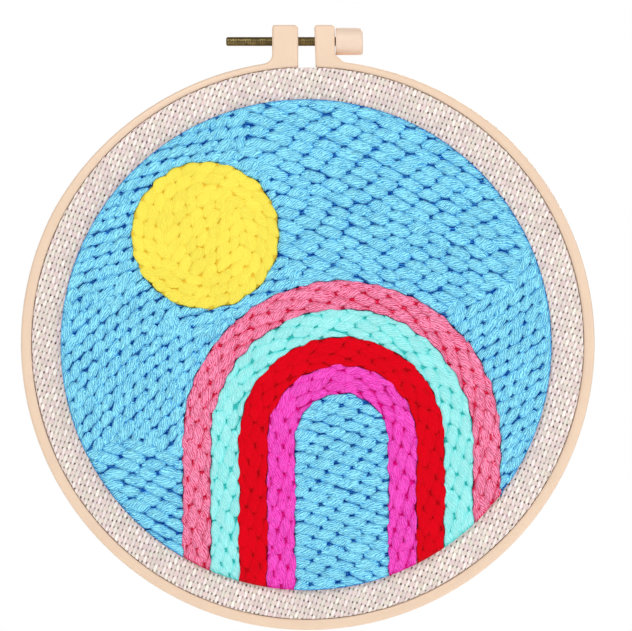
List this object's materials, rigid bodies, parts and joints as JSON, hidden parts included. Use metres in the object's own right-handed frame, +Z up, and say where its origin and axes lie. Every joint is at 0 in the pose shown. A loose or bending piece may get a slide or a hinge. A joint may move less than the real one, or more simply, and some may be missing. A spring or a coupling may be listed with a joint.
{
  "type": "punch needle wall piece in an embroidery hoop",
  "caption": "Round punch needle picture of a sun and a banded arch on open-weave cloth, in a split plastic hoop that a clamping screw closes and a nail carries.",
  "frame": {"origin": "where a nail carries the piece: in the wall plane behind the hoop, level with the underside of the clamping screw and midway between the lugs", "axes": "+Z up the wall, +Y into the wall, so the stitched face looks along -Y; +X to the right as seen from the front"},
  "size_m": [0.2025, 0.0119, 0.2137],
  "materials": {
    "hoop_plastic": "moulded peach plastic with a soft satin face",
    "knob_plastic": "moulded peach plastic, a little pinker than the hoop",
    "screw_brass": "aged dark brass, threaded",
    "cloth": "undyed open basket weave, pinkish cream",
    "blue_yarn": "soft plied yarn, matte",
    "yellow_yarn": "soft plied yarn, matte",
    "salmon_yarn": "soft plied yarn, matte",
    "mint_yarn": "soft plied yarn, matte",
    "red_yarn": "soft plied yarn, matte",
    "magenta_yarn": "soft plied yarn, matte"
  },
  "bodies": {
    "hoop": {"outer_ring": "hoop_plastic", "inner_ring": "hoop_plastic", "cloth": "cloth", "sky_stitches": "blue_yarn", "sky_loops": "blue_yarn", "doorway_stitches": "blue_yarn", "doorway_loops": "blue_yarn", "sun_stitches": "yellow_yarn", "sun_loops": "yellow_yarn", "band_salmon_stitches": "salmon_yarn", "band_salmon_loops": "salmon_yarn", "band_mint_stitches": "mint_yarn", "band_mint_loops": "mint_yarn", "band_red_stitches": "red_yarn", "band_red_loops": "red_yarn", "band_magenta_stitches": "magenta_yarn", "band_magenta_loops": "magenta_yarn"},
    "screw": {"clamp_screw": "screw_brass", "knob": "knob_plastic"}
  },
  "joints": [
    {"name": "screw_turn", "type": "hinge", "parent": "hoop", "child": "screw", "pos_m": [0.00055, -0.00475, 0.0016], "axis": [1, 0, 0], "continuous": true}
  ]
}
